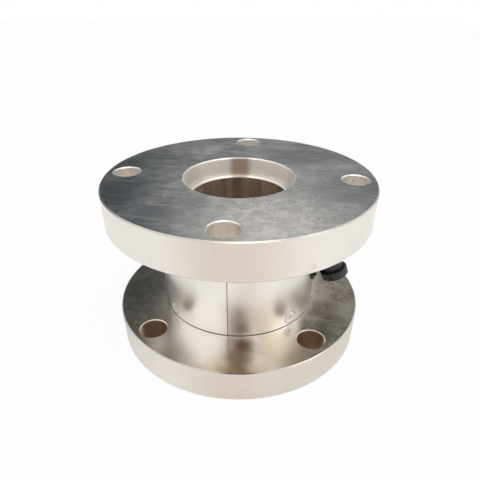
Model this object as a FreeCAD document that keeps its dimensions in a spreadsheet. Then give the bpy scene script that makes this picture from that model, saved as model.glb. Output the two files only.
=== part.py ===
"""Flanged static torque sensor.

A torsion body turned from one billet stands on its lower flange, with the measuring neck under a thin two-part cover.
Millimetres, +Z along the torque axis, origin at the centre of the lower flange's mating face.
"""
import FreeCAD, Part
import math
import os
import re

import Sketcher

V = FreeCAD.Vector

SIZES = (
    ("flange_dia", 118.0, "outside of both flanges"),
    ("overall_height", 76.0, "mating face to mating face"),
    ("neck_length", 23.2, "torsion tube between the hubs"),
    ("hub_height", 10.4, "step beside each flange that carries the cover"),
    ("rim_chamfer", 0.5, "edge break on the flange rims"),
    ("register_step", 2.5, "ledge between the recess in each mating face and the bore"),
    ("register_depth", 8.0, "depth of the recess"),
    ("register_chamfer", 0.5, "lead-in of the recess"),
    ("bore_chamfer", 0.8, "edge break of the bore at the recess"),
    ("bolt_edge", 9.0, "both bolt circles inside the flange rims"),
    ("bolt_hole_dia", 12.0, "plain holes"),
    ("bolt_hole_chamfer", 0.4, "both ends of each bolt hole"),
    ("bolt_count", 4, "holes in each flange"),
    ("lower_pattern_turn", 45.0, "lower bolt circle against the upper one, degrees"),
    ("bolt_to_cover", 13.25, "cover inside the bolt circles"),
    ("instrument_room", 12.75, "torsion tube inside the cover's outer face"),
    ("tube_wall", 2.5, "torsion tube"),
    ("neck_fillet", 3.0, "root of the tube at each hub"),
    ("hub_chamfer", 0.4, "edge break of the hubs"),
    ("cover_wall", 1.5, "sheet of the cover"),
    ("cover_fit", 0.1, "radial clearance of the cover on the hubs"),
    ("cover_edge_gap", 0.3, "cover's edges to the flange faces"),
    ("seam_angle", -92.0, "front seam of the cover, degrees from +X"),
    ("seam_gap", 0.3, "opening of each seam"),
    ("seal_cord", 1.8, "section of the cover seals before they are squeezed"),
    ("seal_squeeze", 0.3, "how much the groove and the cover flatten the seals"),
    ("seal_slot_width", 2.4, "width of the seal grooves"),
    ("seal_inset", 7.8, "middle of each groove from its flange face"),
    ("seal_clearance", 0.02, "seal against groove floor and cover"),
    ("screw_from_seam", 47.0, "cover screws on each side of a seam, degrees"),
    ("screw_height", 4.0, "screw axis above the lower flange"),
    ("screw_thread_dia", 3.0, "cover screw shank"),
    ("screw_head_dia", 5.5, "cover screw head"),
    ("screw_length", 5.5, "cover screw, over the head"),
    ("screw_land", 0.2, "straight rim under the face of the screw head"),
    ("screw_sink", 0.05, "screw head below the cover's surface"),
    ("screw_clearance", 0.08, "radial clearance round the screws"),
    ("tap_reserve", 1.0, "tapped hole beyond the screw's end"),
    ("recess_length", 3.0, "cross recess, over its arms"),
    ("recess_width", 0.7, "cross recess, across an arm"),
    ("recess_depth", 0.9, "cross recess"),
    ("gauge_gap", 0.85, "gauge carriers above their terminals"),
    ("gauge_headroom", 7.1, "gauge carriers below the upper hub"),
    ("gauge_width", 10.0, "gauge carrier round the tube"),
    ("gauge_film", 0.15, "gauge carrier"),
    ("terminal_height", 3.0, "terminal strip along the axis"),
    ("terminal_width", 7.0, "terminal strip round the tube"),
    ("terminal_thickness", 0.8, "terminal strip"),
    ("harness_dia", 1.0, "ring lead"),
    ("harness_clearance", 0.05, "ring lead beside the terminals and over the board"),
    ("board_length", 39.3, "board round the neck, along its middle"),
    ("board_past_outlet", 6.2, "board's end past the cable outlet, along its middle"),
    ("board_inner_gap", 1.2, "board to the torsion tube"),
    ("board_outer_gap", 1.6, "board to the inside of the cover"),
    ("board_thickness", 1.2, "board"),
    ("standoff_height", 3.0, "under the board"),
    ("standoff_dia", 4.0, "under the board"),
    ("board_screw_dia", 2.0, "board screw shank"),
    ("board_screw_head_dia", 3.6, "board screw head"),
    ("board_screw_head_height", 1.3, "board screw head"),
    ("board_screw_reach", 3.5, "board screw into the hub"),
    ("board_screw_edge", 3.1, "board screws from the board's ends, along its middle"),
    ("board_screw_clearance", 0.1, "radial clearance of the board screws"),
    ("resistor_length", 4.2, "trim resistor"),
    ("resistor_dia", 1.8, "trim resistor's end caps"),
    ("resistor_waist", 0.15, "trim resistor between its caps, off the radius"),
    ("resistor_cap", 1.0, "length of an end cap"),
    ("resistor_pitch", 5.7, "between trim resistors, along the board's middle"),
    ("outlet_angle", -10.0, "cable outlet, degrees from +X"),
    ("outlet_rise", 7.4, "cable outlet above the board"),
    ("gasket_dia", 16.0, "pad between outlet and cover"),
    ("gasket_thickness", 0.8, "pad between outlet and cover"),
    ("base_dia", 13.0, "round foot of the outlet"),
    ("base_thickness", 0.8, "round foot of the outlet, at its middle"),
    ("base_neck_dia", 5.0, "spigot that the elbow sits on"),
    ("base_neck_length", 2.0, "spigot that the elbow sits on"),
    ("outlet_thread_dia", 8.0, "outlet's thread through the cover"),
    ("thread_to_bend", 1.25, "inner end of the thread before the end of the lead's bend"),
    ("outlet_bore_dia", 3.6, "lead's way through the outlet"),
    ("outlet_clearance", 0.05, "between the pieces of the outlet"),
    ("lock_nut_flats", 11.0, "across the flats"),
    ("lock_nut_thickness", 2.2, "lock nut"),
    ("elbow_stub_dia", 6.2, "level arm of the moulded elbow"),
    ("elbow_dia", 9.4, "turned arm of the moulded elbow"),
    ("elbow_ball_dia", 9.6, "ball at the corner of the moulded elbow"),
    ("elbow_hollow_dia", 4.2, "hollow at the corner of the moulded elbow"),
    ("elbow_offset", 6.3, "corner of the elbow from the outlet's foot"),
    ("elbow_turn", 68.0, "how far the elbow turns down, degrees"),
    ("elbow_arm", 4.8, "length of the turned arm"),
    ("collar_dia", 12.4, "collar on the turned arm"),
    ("collar_start", 1.6, "collar's upper face from the corner"),
    ("collar_length", 3.8, "collar"),
    ("collar_chamfer", 0.3, "edge break of the collar"),
    ("collar_mouth_dia", 6.6, "opening in the collar's end"),
    ("cable_seal_dia", 7.6, "rubber bush in the turned arm"),
    ("cable_seal_length", 2.2, "rubber bush in the turned arm"),
    ("cable_hole_dia", 5.0, "cable's hole in the bush"),
    ("lead_dia", 2.4, "inner lead"),
    ("lead_bend", 3.0, "bend of the inner lead"),
    ("lead_to_harness", 0.45, "lead beside the ring lead"),
    ("lead_clearance", 0.05, "lead over the board"),
    ("overrun", 1.0, "how far cuts run past the metal that they open"),
)
GAUGE_COUNT = 4
RESISTOR_COUNT = 3

doc = FreeCAD.newDocument("TorqueSensor")
sheet = doc.addObject("Spreadsheet::Sheet", "Sizes")
for row, (alias, value, note) in enumerate(SIZES, start=1):
    sheet.set(f"A{row}", note)
    sheet.set(f"B{row}", str(value))
    sheet.setAlias(f"B{row}", alias)
doc.recompute()

ALIASES = {alias for alias, value, note in SIZES}
nodes = []

# Derived places, as expressions on the sheet
FLANGE_THICKNESS = "( overall_height / 2 - neck_length / 2 - hub_height )"
BOLT_CIRCLE_RADIUS = "( flange_dia / 2 - bolt_edge )"
COVER_RADIUS = "( flange_dia / 2 - bolt_edge - bolt_to_cover )"
COVER_INSIDE = f"( {COVER_RADIUS} - cover_wall )"
HUB_RADIUS = f"( {COVER_INSIDE} - cover_fit )"
NECK_RADIUS = f"( {COVER_RADIUS} - instrument_room )"
BORE_RADIUS = f"( {NECK_RADIUS} - tube_wall )"
REGISTER_RADIUS = f"( {BORE_RADIUS} + register_step )"
COVER_LOW = f"( {FLANGE_THICKNESS} + cover_edge_gap )"
COVER_HIGH = f"( overall_height - {FLANGE_THICKNESS} - cover_edge_gap )"
GROOVE_FLOOR = f"( {COVER_INSIDE} - seal_cord + seal_squeeze )"
UPPER_FACE = f"( overall_height - {FLANGE_THICKNESS} )"
HUB_TOP = f"( {FLANGE_THICKNESS} + hub_height )"
UPPER_HUB = f"( {UPPER_FACE} - hub_height )"
BOARD_LEVEL = f"( {HUB_TOP} + standoff_height )"
BOARD_TOP = f"( {BOARD_LEVEL} + board_thickness )"
HARNESS_LEVEL = f"( {BOARD_TOP} + harness_clearance + harness_dia / 2 )"
HARNESS_RADIUS = f"( {NECK_RADIUS} + terminal_thickness + harness_clearance + harness_dia / 2 )"
GAUGE_LOW = f"( {HARNESS_LEVEL} + terminal_height / 2 + gauge_gap )"
GAUGE_HIGH = f"( {UPPER_HUB} - gauge_headroom )"
OUTLET_LEVEL = f"( {BOARD_TOP} + outlet_rise )"
SCREW_LEVEL = f"( {FLANGE_THICKNESS} + screw_height )"
HEAD_FACE = f"( {COVER_RADIUS} - screw_sink )"
GASKET_FACE = f"( {COVER_RADIUS} + gasket_thickness )"
FOOT_FACE = f"( {GASKET_FACE} + base_thickness )"
ELBOW_REACH = f"( {FOOT_FACE} + elbow_offset )"
LEAD_LANDING = f"( {HARNESS_RADIUS} + harness_dia / 2 + lead_to_harness + lead_dia / 2 )"
THREAD_END = f"( {LEAD_LANDING} + lead_bend - thread_to_bend )"
FRONT_RIGHT = "( seam_angle + screw_from_seam )"
FRONT_LEFT = "( seam_angle - screw_from_seam )"
REAR_RIGHT = "( seam_angle + 180 - screw_from_seam )"
REAR_LEFT = "( seam_angle + 180 + screw_from_seam )"
BOARD_MIDDLE = f"( ( {NECK_RADIUS} + {COVER_INSIDE} ) / 2 )"
BOARD_DEGREE = f"( {BOARD_MIDDLE} * pi / 180 )"
BOARD_START = f"( outlet_angle + ( board_past_outlet - board_length ) / {BOARD_DEGREE} )"
BOARD_SCREW_ANGLES = (
    f"( {BOARD_START} + board_screw_edge / {BOARD_DEGREE} )",
    f"( {BOARD_START} + ( board_length - board_screw_edge ) / {BOARD_DEGREE} )",
)


def ref(text):
    """Turns the sheet's words in an expression into references to it."""
    return re.sub(r"[a-z_]+", lambda word: f"Sizes.{word[0]}" if word[0] in ALIASES else word[0], text)


def value_of(text):
    """The present value of an expression on the sheet."""
    return float(sheet.evalExpression(ref(text)))


def new_body(name):
    body = doc.addObject("PartDesign::Body", name)
    body.Label = name
    return body


def keep(item, name):
    """Marks a finished sub-part, whose label names its file."""
    item.Label = name
    nodes.append(item)
    return item


def group(name, items):
    """Like pieces in one sub-part, still separate solids."""
    together = doc.addObject("Part::Compound", name)
    together.Links = items
    return keep(together, name)


def origin_feature(body, role):
    return next(item for item in body.Origin.OriginFeatures if item.Role == role)


def attach(body, name, role):
    sketch = body.newObject("Sketcher::SketchObject", name)
    sketch.AttachmentSupport = (origin_feature(body, role), [""])
    sketch.MapMode = "FlatFace"
    return sketch


def level_sketch(body, name, level):
    """A sketch square to the torque axis, at a height of the sheet."""
    sketch = attach(body, name, "XY_Plane")
    sketch.setExpression("AttachmentOffset.Base.z", ref(level))
    return sketch


def radial_sketch(body, name, angle="0", level="0"):
    """A sketch in a plane through the torque axis: x runs outwards at the angle, y runs up from the level."""
    sketch = attach(body, name, "XZ_Plane")
    sketch.AttachmentOffset = FreeCAD.Placement(V(), FreeCAD.Rotation(V(0, 1, 0), 1))
    sketch.setExpression("AttachmentOffset.Rotation.Angle", ref(angle))
    sketch.setExpression("AttachmentOffset.Base.y", ref(level))
    return sketch


def facing_sketch(body, name, angle, level, distance):
    """A sketch that faces outwards at the angle, at a distance from the torque axis."""
    sketch = attach(body, name, "YZ_Plane")
    sketch.AttachmentOffset = FreeCAD.Placement(V(), FreeCAD.Rotation(V(0, 1, 0), 1))
    sketch.setExpression("AttachmentOffset.Rotation.Angle", ref(angle))
    sketch.setExpression("AttachmentOffset.Base.x", ref(f"{distance} * sin({angle})"))
    sketch.setExpression("AttachmentOffset.Base.y", ref(level))
    sketch.setExpression("AttachmentOffset.Base.z", ref(f"{distance} * cos({angle})"))
    return sketch


def distance_to_origin(sketch, kind, curve, end, text):
    point = sketch.getPoint(curve, end)
    drawn = point.x if kind == "DistanceX" else point.y
    index = sketch.addConstraint(Sketcher.Constraint(kind, -1, 1, curve, end, drawn))
    sketch.setExpression(f"Constraints[{index}]", ref(text))


def place_point(sketch, curve, end, x, y):
    """Ties a point of the sketch to the origin by two expressions."""
    distance_to_origin(sketch, "DistanceX", curve, end, x)
    distance_to_origin(sketch, "DistanceY", curve, end, y)


def outline(sketch, corners):
    """A closed outline of straight edges, each corner placed by expressions for x and y."""
    count = len(corners)
    first = sketch.GeometryCount
    spots = [V(math.cos(2 * math.pi * k / count), math.sin(2 * math.pi * k / count), 0) for k in range(count)]
    for k in range(count):
        sketch.addGeometry(Part.LineSegment(spots[k], spots[(k + 1) % count]), False)
    for k in range(count):
        following = first + (k + 1) % count
        sketch.addConstraint(Sketcher.Constraint("Coincident", first + k, 2, following, 1))
    for k, (x, y) in enumerate(corners):
        place_point(sketch, first + k, 1, x, y)


def box_outline(sketch, x_low, x_high, y_low, y_high):
    outline(sketch, [(x_low, y_low), (x_high, y_low), (x_high, y_high), (x_low, y_high)])


def circle(sketch, x, y, radius):
    """A circle whose centre and radius follow the sheet."""
    index = sketch.addGeometry(Part.Circle(V(1, 1, 0), V(0, 0, 1), 1.0), False)
    place_point(sketch, index, 3, x, y)
    reach = sketch.addConstraint(Sketcher.Constraint("Radius", index, 1.0))
    sketch.setExpression(f"Constraints[{reach}]", ref(radius))


def polar_circle(sketch, distance, angle, radius):
    circle(sketch, f"{distance} * cos({angle})", f"{distance} * sin({angle})", radius)


def extrude(body, kind, sketch, name, length, both_ways=False):
    """A Pad along the sketch's normal or a Pocket against it, or either to both sides."""
    feature = body.newObject(f"PartDesign::{kind}", name)
    feature.Profile = sketch
    feature.SideType = "Symmetric" if both_ways else "One side"
    feature.setExpression("Length", ref(length))
    body.Tip = feature
    return feature


def turn(body, kind, sketch, name, axis="H_Axis", degrees="360"):
    """A Revolution or Groove of the sketch about one of its axes."""
    feature = body.newObject(f"PartDesign::{kind}", name)
    feature.Profile = sketch
    feature.ReferenceAxis = (sketch, [axis])
    feature.setExpression("Angle", ref(degrees))
    body.Tip = feature
    return feature


def repeat(body, originals, name, count):
    """The same features again, evenly round the torque axis."""
    feature = body.newObject("PartDesign::PolarPattern", name)
    feature.Originals = originals
    feature.Axis = (origin_feature(body, "Z_Axis"), [""])
    feature.Angle = 360
    feature.setExpression("Occurrences", ref(count))
    body.Tip = feature
    return feature


def circular_edges(body, radius, accept):
    """Names of the body's circular edges of a radius that pass a test of their curve."""
    doc.recompute()
    names = []
    for number, edge in enumerate(body.Tip.Shape.Edges, start=1):
        curve = edge.Curve
        if isinstance(curve, Part.Circle) and abs(curve.Radius - radius) < 1e-6 and accept(curve):
            names.append(f"Edge{number}")
    return names


def dress(body, kind, name, edges, prop, value):
    """A Chamfer or Fillet on named edges."""
    base = body.Tip
    feature = body.newObject(f"PartDesign::{kind}", name)
    feature.Base = (base, edges)
    feature.setExpression(prop, ref(value))
    body.Tip = feature


def spring_body():
    """Flanges, hubs and torsion tube: one turned piece with drilled flanges."""
    body = new_body("spring_body")
    section = radial_sketch(body, "turned_section")
    rim = "flange_dia / 2"
    slot = "seal_slot_width / 2"
    outline(section, [
        (f"{REGISTER_RADIUS} + register_chamfer", "0"),
        (f"{rim} - rim_chamfer", "0"),
        (rim, "rim_chamfer"),
        (rim, f"{FLANGE_THICKNESS} - rim_chamfer"),
        (f"{rim} - rim_chamfer", FLANGE_THICKNESS),
        (HUB_RADIUS, FLANGE_THICKNESS),
        (HUB_RADIUS, f"{FLANGE_THICKNESS} + seal_inset - {slot}"),
        (GROOVE_FLOOR, f"{FLANGE_THICKNESS} + seal_inset - {slot}"),
        (GROOVE_FLOOR, f"{FLANGE_THICKNESS} + seal_inset + {slot}"),
        (HUB_RADIUS, f"{FLANGE_THICKNESS} + seal_inset + {slot}"),
        (HUB_RADIUS, f"{HUB_TOP} - hub_chamfer"),
        (f"{HUB_RADIUS} - hub_chamfer", HUB_TOP),
        (NECK_RADIUS, HUB_TOP),
        (NECK_RADIUS, UPPER_HUB),
        (f"{HUB_RADIUS} - hub_chamfer", UPPER_HUB),
        (HUB_RADIUS, f"{UPPER_HUB} + hub_chamfer"),
        (HUB_RADIUS, f"{UPPER_FACE} - seal_inset - {slot}"),
        (GROOVE_FLOOR, f"{UPPER_FACE} - seal_inset - {slot}"),
        (GROOVE_FLOOR, f"{UPPER_FACE} - seal_inset + {slot}"),
        (HUB_RADIUS, f"{UPPER_FACE} - seal_inset + {slot}"),
        (HUB_RADIUS, UPPER_FACE),
        (f"{rim} - rim_chamfer", UPPER_FACE),
        (rim, f"{UPPER_FACE} + rim_chamfer"),
        (rim, "overall_height - rim_chamfer"),
        (f"{rim} - rim_chamfer", "overall_height"),
        (f"{REGISTER_RADIUS} + register_chamfer", "overall_height"),
        (REGISTER_RADIUS, "overall_height - register_chamfer"),
        (REGISTER_RADIUS, "overall_height - register_depth"),
        (f"{BORE_RADIUS} + bore_chamfer", "overall_height - register_depth"),
        (BORE_RADIUS, "overall_height - register_depth - bore_chamfer"),
        (BORE_RADIUS, "register_depth + bore_chamfer"),
        (f"{BORE_RADIUS} + bore_chamfer", "register_depth"),
        (REGISTER_RADIUS, "register_depth"),
        (REGISTER_RADIUS, "register_chamfer"),
    ])
    turn(body, "Revolution", section, "billet", "V_Axis")
    low, high = value_of(FLANGE_THICKNESS), value_of(UPPER_FACE)
    neck_edges = circular_edges(body, value_of(NECK_RADIUS), lambda curve: low < curve.Center.z < high)
    dress(body, "Fillet", "neck_roots", neck_edges, "Radius", "neck_fillet")

    for name, level, angle in (("upper", "overall_height", "0"), ("lower", FLANGE_THICKNESS, "lower_pattern_turn")):
        plan = level_sketch(body, f"{name}_bolt_plan", level)
        polar_circle(plan, BOLT_CIRCLE_RADIUS, angle, "bolt_hole_dia / 2")
        hole = extrude(body, "Pocket", plan, f"{name}_bolt_hole", FLANGE_THICKNESS)
        repeat(body, [hole], f"{name}_bolt_circle", "bolt_count")
    rims = circular_edges(body, value_of("bolt_hole_dia / 2"), lambda curve: math.hypot(curve.Center.x, curve.Center.y) > 1)
    dress(body, "Chamfer", "bolt_hole_edges", rims, "Size", "bolt_hole_chamfer")

    for number, angle in enumerate((FRONT_LEFT, FRONT_RIGHT, REAR_RIGHT, REAR_LEFT), start=1):
        drill = radial_sketch(body, f"cover_tap_{number}_section", angle, SCREW_LEVEL)
        box_outline(drill, f"{HEAD_FACE} - screw_length - tap_reserve", COVER_INSIDE,
                    "0", "screw_thread_dia / 2 + screw_clearance")
        turn(body, "Groove", drill, f"cover_tap_{number}")

    plan = level_sketch(body, "board_tap_plan", HUB_TOP)
    for angle in BOARD_SCREW_ANGLES:
        polar_circle(plan, BOARD_MIDDLE, angle, "board_screw_dia / 2 + board_screw_clearance")
    extrude(body, "Pocket", plan, "board_taps", "board_screw_reach + tap_reserve")
    keep(body, "spring_body")


def cover_shell(name, start, screw_angles):
    """Half of the rolled cover, from one seam to the next, with countersunk holes along its lower edge."""
    body = new_body(name)
    half_gap = f"seam_gap / ( 2 * {COVER_RADIUS} ) * 180 / pi"
    wall = radial_sketch(body, f"{name}_section", f"{start} + {half_gap}")
    box_outline(wall, COVER_INSIDE, COVER_RADIUS, COVER_LOW, COVER_HIGH)
    turn(body, "Revolution", wall, f"{name}_wall", "V_Axis", f"180 - 2 * {half_gap}")
    cone_end = f"{HEAD_FACE} - screw_land - ( screw_head_dia - screw_thread_dia ) / 2"
    for place, angle in enumerate(screw_angles, start=1):
        sink = radial_sketch(body, f"{name}_{place}_sink_section", angle, SCREW_LEVEL)
        outline(sink, [
            (f"{COVER_INSIDE} - cover_wall", "0"),
            (f"{COVER_RADIUS} + cover_wall", "0"),
            (f"{COVER_RADIUS} + cover_wall", "screw_head_dia / 2 + screw_clearance"),
            (f"{HEAD_FACE} - screw_land", "screw_head_dia / 2 + screw_clearance"),
            (cone_end, "screw_thread_dia / 2 + screw_clearance"),
            (f"{COVER_INSIDE} - cover_wall", "screw_thread_dia / 2 + screw_clearance"),
        ])
        turn(body, "Groove", sink, f"{name}_{place}_sink")
    return body


def cover_shells():
    left = cover_shell("cover_shell_left", "seam_angle + 180", (REAR_LEFT, FRONT_LEFT))
    keep(left, "cover_shell_left")
    right = cover_shell("cover_shell_right", "seam_angle", (FRONT_RIGHT, REAR_RIGHT))
    way = radial_sketch(right, "outlet_hole_section", "outlet_angle", OUTLET_LEVEL)
    box_outline(way, f"{COVER_INSIDE} - cover_wall", f"{COVER_RADIUS} + cover_wall",
                "0", "outlet_thread_dia / 2 + outlet_clearance")
    turn(right, "Groove", way, "outlet_hole")
    keep(right, "cover_shell_right")


def cover_screw(name, angle):
    """Countersunk screw with a cross recess, pointing at the torque axis."""
    body = new_body(name)
    section = radial_sketch(body, f"{name}_section", angle, SCREW_LEVEL)
    outline(section, [
        (f"{HEAD_FACE} - screw_length", "0"),
        (HEAD_FACE, "0"),
        (HEAD_FACE, "screw_head_dia / 2"),
        (f"{HEAD_FACE} - screw_land", "screw_head_dia / 2"),
        (f"{HEAD_FACE} - screw_land - ( screw_head_dia - screw_thread_dia ) / 2", "screw_thread_dia / 2"),
        (f"{HEAD_FACE} - screw_length", "screw_thread_dia / 2"),
    ])
    turn(body, "Revolution", section, f"{name}_blank")
    for arm, half_height, width in (
        ("upright", "recess_length / 2", "recess_width"),
        ("level", "recess_width / 2", "recess_length"),
    ):
        slot = radial_sketch(body, f"{name}_{arm}_section", angle, SCREW_LEVEL)
        box_outline(slot, f"{HEAD_FACE} - recess_depth", f"{HEAD_FACE} + recess_depth", f"- {half_height}", half_height)
        extrude(body, "Pocket", slot, f"{name}_{arm}_slot", width, both_ways=True)
    return body


def cover_screws():
    angles = (FRONT_LEFT, FRONT_RIGHT, REAR_RIGHT, REAR_LEFT)
    group("cover_screws", [cover_screw(f"cover_screw_{k}", angle) for k, angle in enumerate(angles, start=1)])


def cover_seal(name, level):
    """A rubber ring in a hub's groove, squeezed by the cover."""
    body = new_body(name)
    section = radial_sketch(body, f"{name}_section", "0", level)
    circle(section, f"( {GROOVE_FLOOR} + {COVER_INSIDE} ) / 2", "0",
           f"( {COVER_INSIDE} - {GROOVE_FLOOR} ) / 2 - seal_clearance")
    turn(body, "Revolution", section, f"{name}_ring", "V_Axis")
    keep(body, name)


def neck_patch(name, angle, low, high, width, thickness):
    """A thin piece bonded round the torsion tube."""
    body = new_body(name)
    span = f"{width} / {NECK_RADIUS} * 180 / pi"
    section = radial_sketch(body, f"{name}_section", f"{angle} - {span} / 2")
    box_outline(section, NECK_RADIUS, f"{NECK_RADIUS} + {thickness}", low, high)
    turn(body, "Revolution", section, f"{name}_patch", "V_Axis", span)
    keep(body, name)


def measuring_bridge():
    """Shear gauges round the tube, their terminal strips and the ring lead that joins them."""
    for k in range(GAUGE_COUNT):
        angle = f"{k} * 360 / {GAUGE_COUNT}"
        neck_patch(f"strain_gauge_{k + 1}", angle, GAUGE_LOW, GAUGE_HIGH, "gauge_width", "gauge_film")
        neck_patch(f"gauge_terminal_{k + 1}", angle, f"{HARNESS_LEVEL} - terminal_height / 2",
                   f"{HARNESS_LEVEL} + terminal_height / 2", "terminal_width", "terminal_thickness")
    body = new_body("bridge_harness")
    section = radial_sketch(body, "harness_section", "0", HARNESS_LEVEL)
    circle(section, HARNESS_RADIUS, "0", "harness_dia / 2")
    turn(body, "Revolution", section, "harness_ring", "V_Axis")
    keep(body, "bridge_harness")


def balance_board():
    """Curved circuit board round the foot of the torsion tube."""
    body = new_body("balance_board")
    section = radial_sketch(body, "board_section", BOARD_START)
    box_outline(section, f"{NECK_RADIUS} + board_inner_gap", f"{COVER_INSIDE} - board_outer_gap",
                BOARD_LEVEL, BOARD_TOP)
    turn(body, "Revolution", section, "board_blank", "V_Axis", f"board_length / {BOARD_DEGREE}")
    plan = level_sketch(body, "board_hole_plan", BOARD_TOP)
    for angle in BOARD_SCREW_ANGLES:
        polar_circle(plan, BOARD_MIDDLE, angle, "board_screw_dia / 2 + board_screw_clearance")
    extrude(body, "Pocket", plan, "board_holes", "board_thickness")
    keep(body, "balance_board")


def board_fixings():
    """Tubular standoffs on the lower hub and the screws through them."""
    standoffs = []
    screws = []
    for number, angle in enumerate(BOARD_SCREW_ANGLES, start=1):
        post = new_body(f"standoff_{number}")
        plan = level_sketch(post, f"{post.Name}_plan", HUB_TOP)
        polar_circle(plan, BOARD_MIDDLE, angle, "standoff_dia / 2")
        polar_circle(plan, BOARD_MIDDLE, angle, "board_screw_dia / 2 + board_screw_clearance")
        extrude(post, "Pad", plan, f"{post.Name}_tube", "standoff_height")
        standoffs.append(post)

        screw = new_body(f"board_screw_{number}")
        plan = level_sketch(screw, f"{screw.Name}_shank_plan", f"{HUB_TOP} - board_screw_reach")
        polar_circle(plan, BOARD_MIDDLE, angle, "board_screw_dia / 2")
        extrude(screw, "Pad", plan, f"{screw.Name}_shank", "board_screw_reach + standoff_height + board_thickness")
        plan = level_sketch(screw, f"{screw.Name}_head_plan", BOARD_TOP)
        polar_circle(plan, BOARD_MIDDLE, angle, "board_screw_head_dia / 2")
        extrude(screw, "Pad", plan, f"{screw.Name}_head", "board_screw_head_height")
        screws.append(screw)
    group("board_standoffs", standoffs)
    group("board_screws", screws)


def trim_resistors():
    """Capped resistors lying radially on the board, spread about its middle."""
    resistors = []
    inner = f"{BOARD_MIDDLE} - resistor_length / 2"
    outer = f"{BOARD_MIDDLE} + resistor_length / 2"
    for k in range(RESISTOR_COUNT):
        part = new_body(f"resistor_{k + 1}")
        off_middle = f"( {k} - ( {RESISTOR_COUNT} - 1 ) / 2 ) * resistor_pitch"
        angle = f"{BOARD_START} + ( board_length / 2 + {off_middle} ) / {BOARD_DEGREE}"
        section = radial_sketch(part, f"{part.Name}_section", angle, f"{BOARD_TOP} + resistor_dia / 2")
        outline(section, [
            (inner, "0"),
            (outer, "0"),
            (outer, "resistor_dia / 2"),
            (f"{outer} - resistor_cap", "resistor_dia / 2"),
            (f"{outer} - resistor_cap", "resistor_dia / 2 - resistor_waist"),
            (f"{inner} + resistor_cap", "resistor_dia / 2 - resistor_waist"),
            (f"{inner} + resistor_cap", "resistor_dia / 2"),
            (inner, "resistor_dia / 2"),
        ])
        turn(part, "Revolution", section, f"{part.Name}_turned")
        resistors.append(part)
    group("trim_resistors", resistors)


def outlet_sketch(body, name):
    return radial_sketch(body, name, "outlet_angle", OUTLET_LEVEL)


def arm_sketch(body, name, corners):
    """An outline given along and off the elbow's turned arm, with the arm's axis as Axis0."""
    sketch = outlet_sketch(body, name)

    def point(along, off):
        x = f"{ELBOW_REACH} + ( {along} ) * cos(elbow_turn) + ( {off} ) * sin(elbow_turn)"
        y = f"( {off} ) * cos(elbow_turn) - ( {along} ) * sin(elbow_turn)"
        return x, y

    axis = sketch.addGeometry(Part.LineSegment(V(0, 0, 0), V(1, -1, 0)), True)
    place_point(sketch, axis, 1, *point("0", "0"))
    place_point(sketch, axis, 2, *point("elbow_arm", "0"))
    outline(sketch, [point(along, off) for along, off in corners])
    return sketch


def outlet_mounting():
    """Gasket, threaded base and lock nut that hold the cable outlet in the cover."""
    gasket = new_body("outlet_gasket")
    plan = facing_sketch(gasket, "gasket_plan", "outlet_angle", OUTLET_LEVEL, "0")
    circle(plan, "0", "0", "gasket_dia / 2")
    circle(plan, "0", "0", "outlet_thread_dia / 2 + outlet_clearance")
    extrude(gasket, "Pad", plan, "gasket_blank", f"{GASKET_FACE} + gasket_thickness")
    inside = outlet_sketch(gasket, "gasket_inside_section")
    box_outline(inside, "0", COVER_RADIUS, "- gasket_dia", "gasket_dia")
    turn(gasket, "Groove", inside, "gasket_inside", "V_Axis")
    outside = outlet_sketch(gasket, "gasket_outside_section")
    box_outline(outside, GASKET_FACE, f"{GASKET_FACE} + gasket_dia", "- gasket_dia", "gasket_dia")
    turn(gasket, "Groove", outside, "gasket_outside", "V_Axis")
    keep(gasket, "outlet_gasket")

    base = new_body("outlet_base")
    plan = facing_sketch(base, "foot_plan", "outlet_angle", OUTLET_LEVEL, "0")
    circle(plan, "0", "0", "base_dia / 2")
    extrude(base, "Pad", plan, "foot", FOOT_FACE)
    inside = outlet_sketch(base, "foot_inside_section")
    box_outline(inside, "0", GASKET_FACE, "- base_dia", "base_dia")
    turn(base, "Groove", inside, "foot_inside", "V_Axis")
    core = outlet_sketch(base, "core_section")
    outline(core, [
        (THREAD_END, "0"),
        (f"{FOOT_FACE} + base_neck_length", "0"),
        (f"{FOOT_FACE} + base_neck_length", "base_neck_dia / 2"),
        (FOOT_FACE, "base_neck_dia / 2"),
        (FOOT_FACE, "outlet_thread_dia / 2"),
        (THREAD_END, "outlet_thread_dia / 2"),
    ])
    turn(base, "Revolution", core, "core")
    way = outlet_sketch(base, "base_bore_section")
    box_outline(way, f"{THREAD_END} - overrun", f"{FOOT_FACE} + base_neck_length + overrun", "0", "outlet_bore_dia / 2")
    turn(base, "Groove", way, "base_bore")
    keep(base, "outlet_base")

    nut = new_body("outlet_lock_nut")
    corner = "lock_nut_flats / 2 / cos(30)"
    seat = f"sqrt({COVER_INSIDE} ^ 2 - ( {corner} ) ^ 2)"
    plan = facing_sketch(nut, "nut_plan", "outlet_angle", OUTLET_LEVEL,
                         f"( {seat} - outlet_clearance - lock_nut_thickness )")
    outline(plan, [(f"{corner} * cos({60 * k})", f"{corner} * sin({60 * k})") for k in range(6)])
    circle(plan, "0", "0", "outlet_thread_dia / 2 + outlet_clearance")
    extrude(nut, "Pad", plan, "nut_blank", "lock_nut_thickness")
    keep(nut, "outlet_lock_nut")


def ball(body, kind, name, radius):
    """A ball at the elbow's corner, added or cut."""
    feature = body.newObject(f"PartDesign::{kind}Sphere", name)
    feature.setExpression("Radius", ref(radius))
    feature.setExpression("Placement.Base.x", ref(f"{ELBOW_REACH} * cos(outlet_angle)"))
    feature.setExpression("Placement.Base.y", ref(f"{ELBOW_REACH} * sin(outlet_angle)"))
    feature.setExpression("Placement.Base.z", ref(OUTLET_LEVEL))
    body.Tip = feature


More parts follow.
